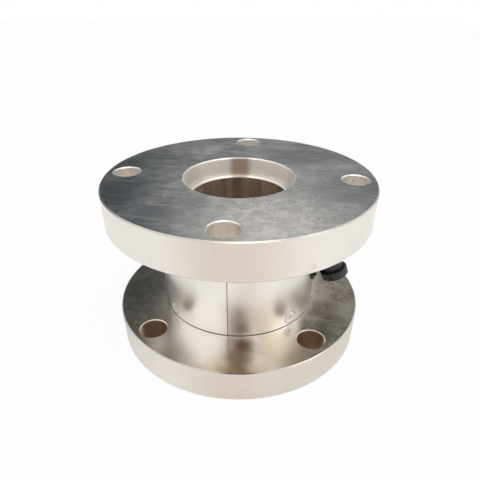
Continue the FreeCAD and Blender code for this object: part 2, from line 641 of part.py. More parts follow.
def outlet_elbow():
    """Moulded elbow: a level stub, a ball at the corner and an arm turned down, hollow all the way."""
    body = new_body("outlet_elbow")
    root = f"{FOOT_FACE} + outlet_clearance"
    stub = outlet_sketch(body, "stub_section")
    box_outline(stub, root, ELBOW_REACH, "0", "elbow_stub_dia / 2")
    turn(body, "Revolution", stub, "stub")
    ball(body, "Additive", "corner_ball", "elbow_ball_dia / 2")
    arm = arm_sketch(body, "arm_section", [
        ("0", "0"), ("elbow_arm", "0"), ("elbow_arm", "elbow_dia / 2"), ("0", "elbow_dia / 2")])
    turn(body, "Revolution", arm, "arm", "Axis0")
    bore = outlet_sketch(body, "stub_bore_section")
    box_outline(bore, f"{root} - overrun", ELBOW_REACH, "0", "outlet_bore_dia / 2")
    turn(body, "Groove", bore, "stub_bore")
    socket = outlet_sketch(body, "socket_section")
    box_outline(socket, f"{root} - overrun", f"{FOOT_FACE} + base_neck_length + outlet_clearance",
                "0", "base_neck_dia / 2 + outlet_clearance")
    turn(body, "Groove", socket, "socket")
    ball(body, "Subtractive", "corner_hollow", "elbow_hollow_dia / 2")
    past_end = "elbow_arm + overrun"
    down = arm_sketch(body, "arm_bore_section", [
        ("0", "0"), (past_end, "0"), (past_end, "outlet_bore_dia / 2"), ("0", "outlet_bore_dia / 2")])
    turn(body, "Groove", down, "arm_bore", "Axis0")
    seat = "elbow_arm - cable_seal_length - outlet_clearance"
    wall = "cable_seal_dia / 2 + outlet_clearance"
    pocket = arm_sketch(body, "seal_pocket_section", [(seat, "0"), (past_end, "0"), (past_end, wall), (seat, wall)])
    turn(body, "Groove", pocket, "seal_pocket", "Axis0")
    keep(body, "outlet_elbow")


def outlet_end():
    """Collar on the elbow's arm, and the rubber bush that grips the cable."""
    collar = new_body("outlet_collar")
    end = "collar_start + collar_length"
    section = arm_sketch(collar, "collar_section", [
        ("collar_start", "elbow_dia / 2 + outlet_clearance"),
        ("elbow_arm + outlet_clearance", "elbow_dia / 2 + outlet_clearance"),
        ("elbow_arm + outlet_clearance", "collar_mouth_dia / 2"),
        (end, "collar_mouth_dia / 2"),
        (end, "collar_dia / 2 - collar_chamfer"),
        (f"{end} - collar_chamfer", "collar_dia / 2"),
        ("collar_start + collar_chamfer", "collar_dia / 2"),
        ("collar_start", "collar_dia / 2 - collar_chamfer"),
    ])
    turn(collar, "Revolution", section, "collar_turned", "Axis0")
    keep(collar, "outlet_collar")

    bush = new_body("outlet_cable_seal")
    section = arm_sketch(bush, "bush_section", [
        ("elbow_arm - cable_seal_length", "cable_hole_dia / 2"),
        ("elbow_arm", "cable_hole_dia / 2"),
        ("elbow_arm", "cable_seal_dia / 2"),
        ("elbow_arm - cable_seal_length", "cable_seal_dia / 2"),
    ])
    turn(bush, "Revolution", section, "bush_turned", "Axis0")
    keep(bush, "outlet_cable_seal")


def outlet_lead():
    """Inner lead: up from the board, round a bend and level into the outlet's bore."""
    body = new_body("outlet_lead")
    path = outlet_sketch(body, "lead_path")
    rise = path.addGeometry(Part.LineSegment(V(1, -3, 0), V(1, -1, 0)), False)
    arc = path.addGeometry(Part.ArcOfCircle(Part.Circle(V(2, -1, 0), V(0, 0, 1), 1), math.pi / 2, math.pi), False)
    level = path.addGeometry(Part.LineSegment(V(2, 0, 0), V(4, 0, 0)), False)
    path.addConstraint(Sketcher.Constraint("Coincident", rise, 2, arc, 2))
    path.addConstraint(Sketcher.Constraint("Coincident", arc, 1, level, 1))
    distance_to_origin(path, "DistanceY", rise, 2, "- lead_bend")
    place_point(path, rise, 1, LEAD_LANDING, f"{BOARD_TOP} + lead_clearance - {OUTLET_LEVEL}")
    place_point(path, arc, 3, f"{LEAD_LANDING} + lead_bend", "- lead_bend")
    place_point(path, level, 1, f"{LEAD_LANDING} + lead_bend", "0")
    place_point(path, level, 2, FOOT_FACE, "0")
    wire = level_sketch(body, "lead_round", f"{BOARD_TOP} + lead_clearance")
    polar_circle(wire, LEAD_LANDING, "outlet_angle", "lead_dia / 2")
    feature = body.newObject("PartDesign::AdditivePipe", "lead_wire")
    feature.Profile = wire
    feature.Spine = path
    body.Tip = feature
    keep(body, "outlet_lead")


spring_body()
cover_shells()
cover_screws()
cover_seal("lower_cover_seal", f"{FLANGE_THICKNESS} + seal_inset")
cover_seal("upper_cover_seal", f"{UPPER_FACE} - seal_inset")
measuring_bridge()
balance_board()
board_fixings()
trim_resistors()
outlet_mounting()
outlet_elbow()
outlet_end()
outlet_lead()
doc.recompute()

faults = [item.Name for item in doc.Objects if "Invalid" in item.State or "Error" in item.State]
faults += [item.Label for item in nodes if item.Shape.isNull() or not item.Shape.isValid() or not item.Shape.Solids]
if faults:
    raise RuntimeError(f"not built: {faults}")

os.makedirs("parts", exist_ok=True)
for item in nodes:
    item.Shape.exportStep(f"parts/{item.Label}.step")
    print(f"{item.Label}: {len(item.Shape.Solids)} solid(s), {item.Shape.Volume:.1f} mm3")
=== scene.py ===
import math

import bpy
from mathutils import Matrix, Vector

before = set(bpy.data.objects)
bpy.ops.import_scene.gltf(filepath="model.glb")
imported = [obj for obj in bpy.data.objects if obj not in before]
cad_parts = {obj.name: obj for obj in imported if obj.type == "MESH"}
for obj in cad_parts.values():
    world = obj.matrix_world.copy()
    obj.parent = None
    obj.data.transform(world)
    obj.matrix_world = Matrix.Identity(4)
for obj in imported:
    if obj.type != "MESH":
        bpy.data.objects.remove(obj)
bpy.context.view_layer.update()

MM = 0.001
CAMERA_AT = Vector((17.49, -172.16, 140.13)) * MM
CAMERA_PITCH = 34.57
CAMERA_TURN = 5.8
FOCAL_PX = 411.5
PICTURE_PX = 480
SENSOR_WIDTH = 36.0
PRINCIPAL_PX = (239.0, 280.0)
SCREW_ANGLES = (-139.0, -45.0, 41.0, 135.0)
SCREW_FACE_RADIUS = 36.75 * MM
SCREW_HEIGHT = 20.0 * MM
MID_HEIGHT = 38.0 * MM
GAUGE_RADIUS = 24.0 * MM
GAUGE_COUNT = 4
GRID_PITCH = 9000.0
BOARD_MIDDLE = 29.625 * MM


# Shader node helpers

def add(tree, kind, inputs=None, **settings):
    """A node with its settings, its input values and its incoming links."""
    made = tree.nodes.new(kind)
    for key, value in settings.items():
        setattr(made, key, value)
    for key, value in (inputs or {}).items():
        socket = made.inputs[key]
        if isinstance(value, bpy.types.NodeSocket):
            tree.links.new(value, socket)
        else:
            socket.default_value = value
    return made


def math_node(tree, operation, a, b=0.0):
    return add(tree, "ShaderNodeMath", {0: a, 1: b}, operation=operation).outputs[0]


def times(tree, a, b):
    return math_node(tree, "MULTIPLY", a, b)


def magnitude(tree, value):
    return math_node(tree, "ABSOLUTE", value)


def rest_of(tree, mask):
    """What a mask leaves out."""
    return math_node(tree, "SUBTRACT", 1.0, mask)


def mix(tree, factor, a, b):
    """Mix of two values."""
    return add(tree, "ShaderNodeMix", {0: factor, 2: a, 3: b}, data_type="FLOAT").outputs[0]


def ramp(tree, value, low, high, to_low=0.0, to_high=1.0):
    """A smooth step of a value between two limits."""
    made = add(tree, "ShaderNodeMapRange", {"Value": value, 1: low, 2: high, 3: to_low, 4: to_high},
               interpolation_type="SMOOTHSTEP")
    return made.outputs["Result"]


def blend(tree, factor, a, b):
    """Mix of two colours."""
    made = add(tree, "ShaderNodeMix", {0: factor, 6: a, 7: b}, data_type="RGBA")
    return made.outputs[2]


def rgb(red, green, blue):
    return (red, green, blue, 1.0)


def tint(tree, colour, mask, strength, tone):
    """Lays a tone over a colour, as strong as its mask allows."""
    return blend(tree, times(tree, mask, strength), colour, rgb(*tone))


def direction(azimuth, elevation):
    """Unit vector towards a direction in degrees."""
    a, e = math.radians(azimuth), math.radians(elevation)
    return (math.cos(a) * math.cos(e), math.sin(a) * math.cos(e), math.sin(e))


def group(name, inputs, outputs, build):
    """A shader node group with named sockets."""
    tree = bpy.data.node_groups.new(name, "ShaderNodeTree")
    for label, kind, value in inputs:
        socket = tree.interface.new_socket(name=label, in_out="INPUT", socket_type=f"NodeSocket{kind}")
        if value is not None:
            socket.default_value = value
    for label, kind in outputs:
        tree.interface.new_socket(name=label, in_out="OUTPUT", socket_type=f"NodeSocket{kind}")
    source = tree.nodes.new("NodeGroupInput")
    sink = tree.nodes.new("NodeGroupOutput")
    for label, socket in build(tree, source.outputs).items():
        tree.links.new(socket, sink.inputs[label])
    return tree


def use(tree, effect, **inputs):
    made = tree.nodes.new("ShaderNodeGroup")
    made.node_tree = effect
    for key, value in inputs.items():
        socket = made.inputs[key.replace("_", " ")]
        if isinstance(value, bpy.types.NodeSocket):
            tree.links.new(value, socket)
        else:
            socket.default_value = value
    return made.outputs


# Shared surface effects

def build_clouds(tree, given):
    """Soft blotches, as of tarnish or handling."""
    noise = add(tree, "ShaderNodeTexNoise", {
        "Vector": given["Vector"], "Scale": given["Scale"],
        "Detail": 6.0, "Roughness": 0.6, "Distortion": 0.6})
    return {"Mask": ramp(tree, noise.outputs["Fac"], given["Low"], given["High"])}


def build_scratches(tree, given):
    """Fine straight scratches along one direction in the plane of X and Y."""
    turned = add(tree, "ShaderNodeVectorRotate", {"Vector": given["Vector"], "Angle": given["Angle"]},
                 rotation_type="Z_AXIS").outputs[0]
    stretched = add(tree, "ShaderNodeVectorMath", {0: turned, 1: (0.035, 1.0, 1.0)}, operation="MULTIPLY")
    noise = add(tree, "ShaderNodeTexNoise", {
        "Vector": stretched.outputs[0], "Scale": given["Scale"], "Detail": 3.0, "Roughness": 0.7})
    return {"Mask": ramp(tree, noise.outputs["Fac"], given["Threshold"], 0.72)}


def build_pits(tree, given):
    """Small irregular specks, denser where a coarse noise allows."""
    cells = add(tree, "ShaderNodeTexVoronoi", {
        "Vector": given["Vector"], "Scale": given["Scale"], "Randomness": 1.0}, feature="F1")
    specks = ramp(tree, cells.outputs["Distance"], 0.30, 0.12)
    patches = add(tree, "ShaderNodeTexNoise", {
        "Vector": given["Vector"], "Scale": 90.0, "Detail": 3.0}).outputs["Fac"]
    return {"Mask": times(tree, specks, ramp(tree, patches, given["Threshold"], 0.66))}


def build_lathe(tree, given):
    """Turning rings: waves along the radius and along the height, from the object's own coordinates."""
    split = add(tree, "ShaderNodeSeparateXYZ", {0: given["Vector"]}).outputs
    flat = add(tree, "ShaderNodeCombineXYZ", {0: split[0], 1: split[1]}).outputs[0]
    radius = add(tree, "ShaderNodeVectorMath", {0: flat}, operation="LENGTH").outputs["Value"]
    place = add(tree, "ShaderNodeCombineXYZ", {0: radius, 1: split[2]}).outputs[0]
    noise = add(tree, "ShaderNodeTexNoise", {
        "Vector": place, "Scale": given["Scale"], "Detail": 2.0, "Roughness": 0.6}).outputs["Fac"]
    return {"Height": noise, "Radius": radius}


def build_zone(tree, given):
    """A soft round zone about a point in the plane of X and Y."""
    split = add(tree, "ShaderNodeSeparateXYZ", {0: given["Vector"]}).outputs
    from_x = math_node(tree, "SUBTRACT", split[0], given["X"])
    from_y = math_node(tree, "SUBTRACT", split[1], given["Y"])
    noise = add(tree, "ShaderNodeTexNoise", {
        "Vector": given["Vector"], "Scale": 70.0, "Detail": 4.0}).outputs["Fac"]
    offset = add(tree, "ShaderNodeCombineXYZ", {0: from_x, 1: from_y}).outputs[0]
    distance = add(tree, "ShaderNodeVectorMath", {0: offset}, operation="LENGTH").outputs["Value"]
    ragged = times(tree, distance, ramp(tree, noise, 0.3, 0.7, 0.75, 1.25))
    return {"Mask": rest_of(tree, ramp(tree, ragged, given["Inner"], given["Outer"]))}


def build_swirls(tree, given):
    """Short curled rub marks."""
    noise = add(tree, "ShaderNodeTexNoise", {
        "Vector": given["Vector"], "Scale": given["Scale"], "Detail": 2.0, "Distortion": 3.0}).outputs["Fac"]
    near = magnitude(tree, math_node(tree, "SUBTRACT", noise, 0.5))
    return {"Mask": ramp(tree, near, given["Width"], 0.0)}


def build_spot(tree, given):
    """A round spot about a point in space."""
    offset = add(tree, "ShaderNodeVectorMath", {0: given["Vector"], 1: given["Centre"]}, operation="SUBTRACT")
    distance = add(tree, "ShaderNodeVectorMath", {0: offset.outputs[0]}, operation="LENGTH").outputs["Value"]
    return {"Mask": ramp(tree, distance, given["Outer"], given["Inner"])}


VECTOR = ("Vector", "Vector", None)
CLOUDS = group("clouds", [VECTOR, ("Scale", "Float", 30.0), ("Low", "Float", 0.4), ("High", "Float", 0.6)],
               [("Mask", "Float")], build_clouds)
SCRATCHES = group("scratches", [VECTOR, ("Scale", "Float", 900.0), ("Angle", "Float", 0.0),
                                ("Threshold", "Float", 0.6)], [("Mask", "Float")], build_scratches)
PITS = group("pits", [VECTOR, ("Scale", "Float", 900.0), ("Threshold", "Float", 0.5)],
             [("Mask", "Float")], build_pits)
ZONE = group("zone", [VECTOR, ("X", "Float", 0.0), ("Y", "Float", 0.0), ("Inner", "Float", 0.0),
                      ("Outer", "Float", 0.03)], [("Mask", "Float")], build_zone)
SWIRLS = group("swirls", [VECTOR, ("Scale", "Float", 200.0), ("Width", "Float", 0.03)],
               [("Mask", "Float")], build_swirls)
SPOT = group("spot", [VECTOR, ("Centre", "Vector", None), ("Inner", "Float", 0.0), ("Outer", "Float", 0.01)],
             [("Mask", "Float")], build_spot)
LATHE = group("lathe_rings", [VECTOR, ("Scale", "Float", 3000.0)],
              [("Height", "Float"), ("Radius", "Float")], build_lathe)


def material(name):
    """An empty material: its tree, its Principled shader and the object's coordinates."""
    made = bpy.data.materials.new(name)
    made.use_nodes = True
    tree = made.node_tree
    shader = next(item for item in tree.nodes if item.type == "BSDF_PRINCIPLED")
    coords = tree.nodes.new("ShaderNodeTexCoord").outputs["Object"]
    return made, tree, shader.inputs, coords


def bump(tree, sockets, height, strength, distance):
    made = add(tree, "ShaderNodeBump", {"Height": height, "Strength": strength, "Distance": distance})
    tree.links.new(made.outputs[0], sockets["Normal"])


def link(tree, value, socket):
    tree.links.new(value, socket)


def stains_and_painted_light(tree, coords, colour, rows):
    """Lays tones over a colour, each in a soft round zone of the plane of X and Y: stains, other tones and
    painted reflections.
    """
    for tone, strength, x, y, inner, outer in rows:
        mask = use(tree, ZONE, Vector=coords, X=x * MM, Y=y * MM, Inner=inner * MM, Outer=outer * MM)["Mask"]
        colour = tint(tree, colour, mask, strength, tone)
    return colour


# Stains and painted light: tone, strength, then X, Y, inner and outer radius of the zone in millimetres

# Top face: the bright patch at the front middle is a painted reflection; the dark patches make the face darker
# towards the left, right and back.
FACE_PAINTED_REFLECTION_AND_TONES = (
    ((0.97, 0.94, 0.90), 0.72, 14, -40, 6, 36),
    ((0.36, 0.38, 0.41), 0.75, -27, -42, 3, 16),
    ((0.34, 0.37, 0.37), 0.36, -43, -22, 6, 24),
    ((0.36, 0.40, 0.35), 0.60, -46, 10, 6, 20),
    ((0.28, 0.29, 0.29), 0.78, 52, -12, 6, 28),
    ((0.26, 0.265, 0.265), 0.85, 30, 32, 6, 28),
)
# Painted reflection: a golden tone at the front middle of the shelf.
SHELF_FRONT_PAINTED_REFLECTION = (
    ((0.64, 0.50, 0.30), 0.72, 0, -66, 6, 24),
)
SHELF_SIDE_STAINS = (
    ((0.19, 0.195, 0.18), 0.80, -52, 4, 10, 34),
    ((0.17, 0.135, 0.10), 0.60, 42, -14, 3, 10),
)
# Shelf next to the cover: the brown rows at the front middle are a painted reflection, darkest next to the
# cover; the other rows are lighter and darker tones.
SHELF_SEAM_PAINTED_REFLECTION_AND_TONES = (
    ((1.0, 0.98, 0.94), 0.92, -20, -46, 8, 20),
    ((0.64, 0.55, 0.40), 0.75, 24, -43, 4, 18),
    ((0.40, 0.28, 0.15), 0.75, 4, -58, 2, 9),
    ((0.26, 0.155, 0.07), 0.80, 5, -50, 2, 10),
    ((0.17, 0.08, 0.035), 0.90, 6, -42, 1, 9),
    ((0.50, 0.46, 0.40), 0.60, 54, -14, 2, 9),
)
# Register walls: the dark warm band on the far wall is a painted reflection; the two rows at the sides are
# warmer, darker tones.
REGISTER_PAINTED_REFLECTION_AND_TONES = (
    ((0.46, 0.36, 0.28), 0.92, -2, 24, 3, 8),
    ((0.58, 0.48, 0.40), 0.45, -25, 3, 3, 13),
    ((0.58, 0.48, 0.40), 0.40, 25, 3, 3, 13),
)
# Painted reflection: a warm, darker patch at the front of the cover.
COVER_PAINTED_REFLECTION = (
    ((0.80, 0.735, 0.68), 0.62, 7, -37, 1, 11),
)


def steel_areas(tree, place, radius):
    """Masks of the body's surfaces, from their place, their radius and how level they lie."""
    normal = add(tree, "ShaderNodeNewGeometry").outputs["Normal"]
    upright = magnitude(tree, add(tree, "ShaderNodeSeparateXYZ", {0: normal}).outputs[2])
    level = ramp(tree, upright, 0.9, 0.98)
    high = ramp(tree, place[2], 66 * MM, 70 * MM)
    hole = times(tree, ramp(tree, radius, 42.5 * MM, 43.0 * MM), ramp(tree, radius, 57.5 * MM, 57.0 * MM))
    low_hole = times(tree, hole, ramp(tree, place[2], 16.0 * MM, 15.5 * MM))
    inner = ramp(tree, radius, 25.0 * MM, 24.2 * MM)
    from_middle = magnitude(tree, math_node(tree, "SUBTRACT", place[2], MID_HEIGHT))
    between = ramp(tree, from_middle, 29.2 * MM, 29.0 * MM)
    return {
        "level": level,
        "top_face": times(tree, level, high),
        "low": ramp(tree, place[2], 20 * MM, 16 * MM),
        "low_hole": low_hole,
        "high_hole": times(tree, hole, high),
        # Outer half of the lower bolt holes, where a light spot is painted.
        "far_wall_light_spot": times(tree, low_hole, ramp(tree, radius, 51.5 * MM, 54.5 * MM)),
        "hole_wall": times(tree, hole, rest_of(tree, level)),
        "edge": times(tree, ramp(tree, upright, 0.3, 0.5), rest_of(tree, hole)),
        "bore": times(tree, inner, between),
        "recess": times(tree, inner, rest_of(tree, between)),
    }


def steel_wear(tree, coords, place):
    """Masks of the tarnish, scratches, rub marks and pits that the surfaces of the body share."""
    def clouded(scale, low, high, vector=coords):
        return use(tree, CLOUDS, Vector=vector, Scale=scale, Low=low, High=high)["Mask"]

    def scratched(scale, degrees, threshold):
        turned = math.radians(degrees)
        return use(tree, SCRATCHES, Vector=coords, Scale=scale, Angle=turned, Threshold=threshold)["Mask"]

    right = ramp(tree, place[0], 0.0, 30 * MM)
    rubbed = use(tree, ZONE, Vector=coords, X=24 * MM, Y=-22 * MM, Inner=10 * MM, Outer=38 * MM)["Mask"]
    flat = add(tree, "ShaderNodeCombineXYZ", {0: place[0], 1: place[1]}).outputs[0]
    return {
        "clouds": clouded(26.0, 0.36, 0.68),
        "blots": clouded(85.0, 0.42, 0.66),
        "mottle": clouded(230.0, 0.42, 0.60),
        "smudge": clouded(120.0, 0.62, 0.72),
        "streaks": clouded(190.0, 0.42, 0.60, flat),
        "fine": scratched(900.0, 6, 0.50),
        "cross": scratched(620.0, -38, 0.52),
        "swirl": times(tree, use(tree, SWIRLS, Vector=coords, Scale=170.0, Width=0.030)["Mask"], rubbed),
        "pits": times(tree, use(tree, PITS, Vector=coords, Scale=430.0, Threshold=0.42)["Mask"], right),
        "right": right,
        "aside": ramp(tree, magnitude(tree, place[0]), 26 * MM, 50 * MM),
    }


def face_colour(tree, coords, wear):
    """Top mating face: cool grey with handling blotches, a painted reflection at the front middle, darker
    patches towards the sides and back, rub marks and scratches.
    """
    colour = blend(tree, wear["clouds"], rgb(0.50, 0.51, 0.52), rgb(0.82, 0.82, 0.81))
    colour = tint(tree, colour, wear["blots"], 0.42, (0.36, 0.38, 0.40))
    # Painted reflection at the front middle, darker patches to the sides and back.
    colour = stains_and_painted_light(tree, coords, colour, FACE_PAINTED_REFLECTION_AND_TONES)
    colour = tint(tree, colour, wear["mottle"], 0.38, (0.34, 0.35, 0.36))
    colour = tint(tree, colour, wear["fine"], 0.34, (0.95, 0.95, 0.94))
    colour = tint(tree, colour, wear["cross"], 0.24, (0.90, 0.90, 0.89))
    colour = tint(tree, colour, wear["swirl"], 0.62, (0.24, 0.24, 0.25))
    return tint(tree, colour, wear["pits"], 0.60, (0.22, 0.22, 0.22))


def shelf_colour(tree, coords, wear):
    """The other level faces: bright, golden-brown at the front middle where a reflection is painted, dark and
    worn at the sides.
    """
    colour = blend(tree, wear["clouds"], rgb(0.84, 0.77, 0.69), rgb(0.96, 0.91, 0.84))
    # Painted reflection: golden tone at the front middle.
    colour = stains_and_painted_light(tree, coords, colour, SHELF_FRONT_PAINTED_REFLECTION)
    colour = tint(tree, colour, wear["aside"], 0.80, (0.25, 0.225, 0.195))
    colour = stains_and_painted_light(tree, coords, colour, SHELF_SIDE_STAINS)
    worn = math_node(tree, "ADD", times(tree, wear["aside"], 0.75), 0.15)
    colour = tint(tree, colour, times(tree, wear["blots"], worn), 0.50, (0.46, 0.40, 0.33))
    colour = tint(tree, colour, times(tree, wear["mottle"], worn), 0.55, (0.14, 0.12, 0.10))
    # Painted brown reflection at the front middle next to the cover, with other tones.
    colour = stains_and_painted_light(tree, coords, colour, SHELF_SEAM_PAINTED_REFLECTION_AND_TONES)
    colour = tint(tree, colour, wear["fine"], 0.05, (0.92, 0.88, 0.82))
    return tint(tree, colour, wear["pits"], 0.55, (0.72, 0.68, 0.62))


def wall_colour(tree, coords, place, wear, areas):
    """Turned and drilled walls: rims, bolt holes, bore, chamfers and registers, with painted reflections, a
    painted light spot and painted shade.
    """
    # Painted reflection: the walls are darker and warmer at the front middle and brighter towards the sides.
    off_front = magnitude(tree, math_node(tree, "SUBTRACT", place[0], 4 * MM))
    sides = ramp(tree, off_front, 4 * MM, 31 * MM)
    colour = blend(tree, sides, rgb(0.79, 0.715, 0.65), rgb(0.93, 0.90, 0.865))
    colour = tint(tree, colour, wear["blots"], 0.14, (0.76, 0.68, 0.62))
    colour = tint(tree, colour, times(tree, wear["right"], areas["low"]), 0.90, (0.78, 0.73, 0.67))
    colour = tint(tree, colour, wear["smudge"], 0.30, (0.60, 0.50, 0.46))
    colour = blend(tree, areas["high_hole"], colour, rgb(0.93, 0.88, 0.82))
    colour = blend(tree, areas["low_hole"], colour, rgb(0.58, 0.44, 0.34))
    # Painted light: a bright warm spot on the outer half of each lower bolt hole.
    colour = blend(tree, areas["far_wall_light_spot"], colour, rgb(0.98, 0.86, 0.74))
    bore = blend(tree, wear["clouds"], rgb(0.74, 0.64, 0.53), rgb(0.96, 0.82, 0.70))
    bore = tint(tree, bore, wear["streaks"], 0.62, (0.34, 0.25, 0.19))
    bore = tint(tree, bore, wear["blots"], 0.40, (0.50, 0.38, 0.30))
    colour = blend(tree, areas["bore"], colour, bore)
    # Painted shade: the chamfers are darkened to hold back their bright highlight.
    colour = tint(tree, colour, areas["edge"], 0.70, (0.60, 0.56, 0.52))
    colour = blend(tree, areas["recess"], colour, rgb(0.98, 0.93, 0.87))
    # Painted reflection band on the far register wall, with warmer tones at the sides.
    return blend(tree, areas["recess"], colour, stains_and_painted_light(tree, coords, colour, REGISTER_PAINTED_REFLECTION_AND_TONES))


def spring_steel():
    """Ground and turned steel: cool, tarnished mating faces, warm bright rims, darker bores, with painted
    reflections, a painted light spot in the lower bolt holes and painted shade on the chamfers.
    """
    made, tree, sockets, coords = material("ground_and_turned_steel")
    place = add(tree, "ShaderNodeSeparateXYZ", {0: coords}).outputs
    rings = use(tree, LATHE, Vector=coords, Scale=2600.0)
    areas = steel_areas(tree, place, rings["Radius"])
    wear = steel_wear(tree, coords, place)

    walls = wall_colour(tree, coords, place, wear, areas)
    colour = blend(tree, areas["level"], walls, shelf_colour(tree, coords, wear))
    colour = blend(tree, areas["top_face"], colour, face_colour(tree, coords, wear))
    link(tree, colour, sockets["Base Color"])

    # Less metallic in the holes, bore and registers; on the outer half of the lower bolt holes this is part of
    # the painted light spot.
    oxide_and_light_spot = math_node(tree, "ADD", times(tree, areas["high_hole"], 0.6), times(tree, areas["far_wall_light_spot"], 1.4))
    oxide_and_light_spot = math_node(tree, "ADD", oxide_and_light_spot, times(tree, areas["bore"], 0.33))
    oxide_and_light_spot = times(tree, oxide_and_light_spot, rest_of(tree, areas["level"]))
    oxide_and_light_spot = math_node(tree, "MAXIMUM", areas["recess"], oxide_and_light_spot)
    link(tree, rest_of(tree, times(tree, oxide_and_light_spot, 0.55)), sockets["Metallic"])

    face_rough = ramp(tree, wear["clouds"], 0.0, 1.0, 0.25, 0.32)
    face_rough = math_node(tree, "ADD", face_rough, times(tree, wear["fine"], 0.10))
    shelf_rough = ramp(tree, wear["clouds"], 0.0, 1.0, 0.19, 0.25)
    shelf_rough = math_node(tree, "ADD", shelf_rough, times(tree, wear["aside"], 0.14))
    coarse = times(tree, math_node(tree, "MAXIMUM", areas["recess"], areas["low_hole"]), 0.25)
    wall_rough = math_node(tree, "ADD", ramp(tree, wear["blots"], 0.0, 1.0, 0.20, 0.27), coarse)
    roughness = mix(tree, areas["level"], wall_rough, shelf_rough)
    link(tree, mix(tree, areas["top_face"], roughness, face_rough), sockets["Roughness"])

    grooves = times(tree, wear["fine"], times(tree, areas["top_face"], -0.5))
    height = math_node(tree, "ADD", times(tree, rings["Height"], 0.6), grooves)
    height = math_node(tree, "SUBTRACT", height, math_node(tree, "ADD", wear["pits"], wear["swirl"]))
    bump(tree, sockets, times(tree, height, rest_of(tree, areas["hole_wall"])), 0.12, 0.02 * MM)
    return made


def cover_sheet():
    """Polished rolled sheet, faintly brushed round the neck, with painted shadow round the screw heads."""
    made, tree, sockets, coords = material("polished_cover_sheet")
    clouds = use(tree, CLOUDS, Vector=coords, Scale=42.0, Low=0.38, High=0.66)["Mask"]
    height = add(tree, "ShaderNodeSeparateXYZ", {0: coords}).outputs[2]
    along = add(tree, "ShaderNodeCombineXYZ", {2: height}).outputs[0]
    brush = add(tree, "ShaderNodeTexNoise", {"Vector": along, "Scale": 2200.0, "Detail": 1.0}).outputs["Fac"]
    colour = blend(tree, clouds, rgb(0.96, 0.935, 0.90), rgb(0.99, 0.97, 0.94))
    colour = tint(tree, colour, brush, 0.06, (0.70, 0.66, 0.62))
    # Painted reflection at the front of the cover.
    colour = stains_and_painted_light(tree, coords, colour, COVER_PAINTED_REFLECTION)
    # Painted shadow: a dark ring round each screw head, in the gap where the head sits.
    screw_shadow_ring = 0.0
    for angle in SCREW_ANGLES:
        centre = Vector(direction(angle, 0.0)) * SCREW_FACE_RADIUS + Vector((0, 0, SCREW_HEIGHT))
        ring = use(tree, SPOT, Vector=coords, Centre=centre, Inner=2.9 * MM, Outer=3.7 * MM)["Mask"]
        screw_shadow_ring = math_node(tree, "MAXIMUM", screw_shadow_ring, ring)
    colour = tint(tree, colour, screw_shadow_ring, 0.60, (0.34, 0.31, 0.28))
    link(tree, colour, sockets["Base Color"])
    sockets["Metallic"].default_value = 1.0
    link(tree, ramp(tree, clouds, 0.0, 1.0, 0.29, 0.35), sockets["Roughness"])
    bump(tree, sockets, brush, 0.04, 0.02 * MM)
    return made


def screw_steel():
    made, tree, sockets, coords = material("nickel_plated_screws")
    blots = use(tree, CLOUDS, Vector=coords, Scale=420.0, Low=0.40, High=0.64)["Mask"]
    link(tree, blend(tree, blots, rgb(0.93, 0.92, 0.89), rgb(0.99, 0.985, 0.97)), sockets["Base Color"])
    sockets["Metallic"].default_value = 0.55
    link(tree, ramp(tree, blots, 0.0, 1.0, 0.32, 0.45), sockets["Roughness"])
    bump(tree, sockets, blots, 0.1, 0.03 * MM)
    return made


def moulded(name, dark, light, low, high, grain=1500.0, relief=0.25):
    """Moulded plastic or rubber with a fine grain and slight wear."""
    made, tree, sockets, coords = material(name)
    clouds = use(tree, CLOUDS, Vector=coords, Scale=160.0, Low=0.38, High=0.66)["Mask"]
    grains = add(tree, "ShaderNodeTexNoise", {"Vector": coords, "Scale": grain, "Detail": 3.0}).outputs["Fac"]
    link(tree, blend(tree, clouds, dark, light), sockets["Base Color"])
    link(tree, ramp(tree, clouds, 0.0, 1.0, low, high), sockets["Roughness"])
    bump(tree, sockets, grains, relief, 0.04 * MM)
    return made


def plated_brass():
    made, tree, sockets, coords = material("plated_brass")
    blots = use(tree, CLOUDS, Vector=coords, Scale=300.0, Low=0.40, High=0.64)["Mask"]
    link(tree, blend(tree, blots, rgb(0.78, 0.70, 0.52), rgb(0.86, 0.80, 0.66)), sockets["Base Color"])
    sockets["Metallic"].default_value = 1.0
    link(tree, ramp(tree, blots, 0.0, 1.0, 0.22, 0.34), sockets["Roughness"])
    bump(tree, sockets, blots, 0.1, 0.03 * MM)
    return made


def circuit_board():
    """Green solder mask with copper showing through as fine concentric tracks."""
    made, tree, sockets, coords = material("circuit_board")
    rings = use(tree, LATHE, Vector=coords, Scale=900.0)
    tracks = ramp(tree, rings["Height"], 0.50, 0.54)
    clouds = use(tree, CLOUDS, Vector=coords, Scale=200.0, Low=0.4, High=0.6)["Mask"]
    mask = blend(tree, clouds, rgb(0.020, 0.115, 0.045), rgb(0.028, 0.145, 0.060))
    link(tree, tint(tree, mask, tracks, 0.70, (0.06, 0.24, 0.08)), sockets["Base Color"])
    link(tree, ramp(tree, tracks, 0.0, 1.0, 0.35, 0.25), sockets["Roughness"])
    bump(tree, sockets, tracks, 0.3, 0.04 * MM)
    return made


